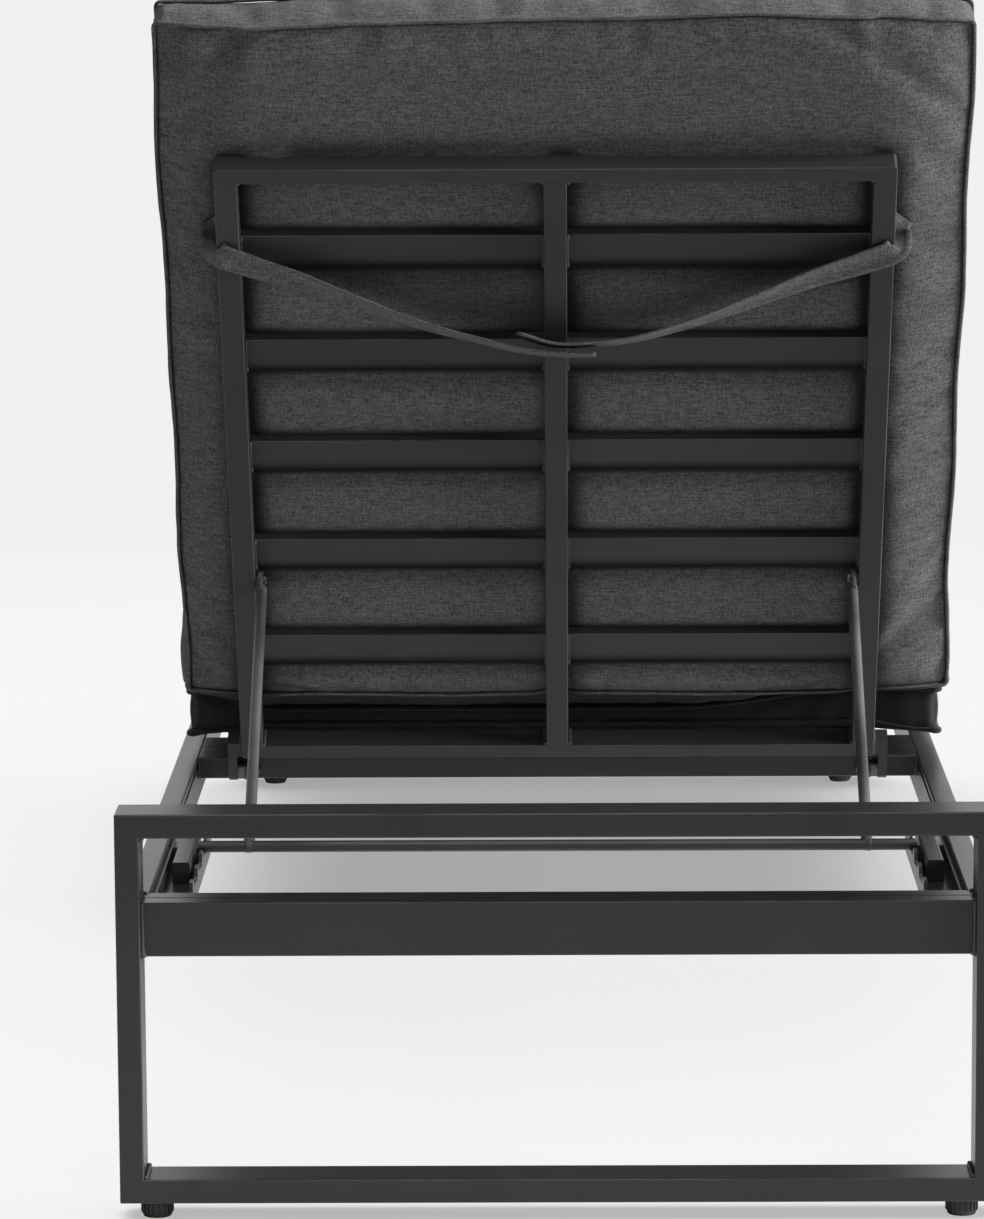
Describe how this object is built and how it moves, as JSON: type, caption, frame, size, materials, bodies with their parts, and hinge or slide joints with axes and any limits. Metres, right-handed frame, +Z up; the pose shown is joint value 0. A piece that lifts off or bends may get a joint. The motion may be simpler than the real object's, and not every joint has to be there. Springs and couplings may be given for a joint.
{
  "type": "sun lounger",
  "caption": "Reclining sun lounger: welded tube frame on end loops, slatted backrest on a swinging prop with notched racks, thick piped cushion tied on with straps.",
  "frame": {"origin": "on the floor, at the middle of the lounger's length and width", "axes": "+Y to the head end, -Y to the foot end, +Z up, X across; the raised backrest leans towards the head end"},
  "size_m": [0.72, 1.93, 0.9867],
  "materials": {
    "frame_coat": "fine-grained anthracite powder coat, low sheen",
    "prop_coat": "anthracite powder coat, worn slightly brighter on the round bars",
    "fasteners": "zinc-plated steel",
    "glide_plastic": "black ribbed plastic",
    "spacer_plastic": "black plastic",
    "cushion_fabric": "dark grey melange woven outdoor fabric with corded edges",
    "strap_fabric": "folded band of the cushion's fabric"
  },
  "bodies": {
    "frame": {"head_post_left": "frame_coat", "head_post_right": "frame_coat", "head_top_bar": "frame_coat", "head_bottom_bar": "frame_coat", "foot_post_left": "frame_coat", "foot_post_right": "frame_coat", "foot_top_bar": "frame_coat", "foot_bottom_bar": "frame_coat", "head_end_rail": "frame_coat", "foot_end_rail": "frame_coat", "head_bed_bar": "frame_coat", "foot_bed_bar": "frame_coat", "side_rail_left": "frame_coat", "side_rail_right": "frame_coat", "hinge_rail": "frame_coat", "seat_rear_rail": "frame_coat", "seat_middle_rail": "frame_coat", "seat_side_bar_left": "frame_coat", "seat_side_bar_right": "frame_coat", "seat_rear_bar": "frame_coat", "seat_front_bar": "frame_coat", "seat_centre_bar": "frame_coat", "seat_slats": "frame_coat", "rack_left": "frame_coat", "rack_right": "frame_coat", "rack_packer_left": "frame_coat", "rack_packer_right": "frame_coat", "glide_pads": "glide_plastic", "glide_studs": "fasteners", "glide_nuts": "fasteners", "hinge_lugs": "frame_coat", "hinge_bolts": "fasteners", "hinge_nuts": "fasteners", "hinge_spacers": "fasteners", "seat_cushion": "cushion_fabric"},
    "backrest": {"back_side_bar_left": "frame_coat", "back_side_bar_right": "frame_coat", "back_bottom_bar": "frame_coat", "back_top_bar": "frame_coat", "back_centre_bar": "frame_coat", "back_slat_1": "frame_coat", "back_slat_2": "frame_coat", "back_slat_3": "frame_coat", "back_slat_4": "frame_coat", "back_slat_5": "frame_coat", "hinge_ear_left": "frame_coat", "hinge_ear_right": "frame_coat", "pivot_bolts": "fasteners", "pivot_nuts": "fasteners", "pivot_spacers": "spacer_plastic", "back_cushion": "cushion_fabric", "strap_left": "strap_fabric", "strap_right": "strap_fabric"},
    "prop": {"prop_arm_left": "prop_coat", "prop_arm_right": "prop_coat", "prop_rod": "prop_coat"}
  },
  "joints": [
    {"name": "backrest_tilt", "type": "hinge", "parent": "frame", "child": "backrest", "pos_m": [0, 0.325, 0.255], "axis": [1, 0, 0], "range_deg": [-52.6, 0]},
    {"name": "prop_fold", "type": "hinge", "parent": "backrest", "child": "prop", "pos_m": [0, 0.4364, 0.45173], "axis": [1, 0, 0], "range_deg": [0, 95.4]}
  ],
  "couplings": [
    {"joint": "prop_fold", "follows": "backrest_tilt", "ratio": -1.8125}
  ]
}
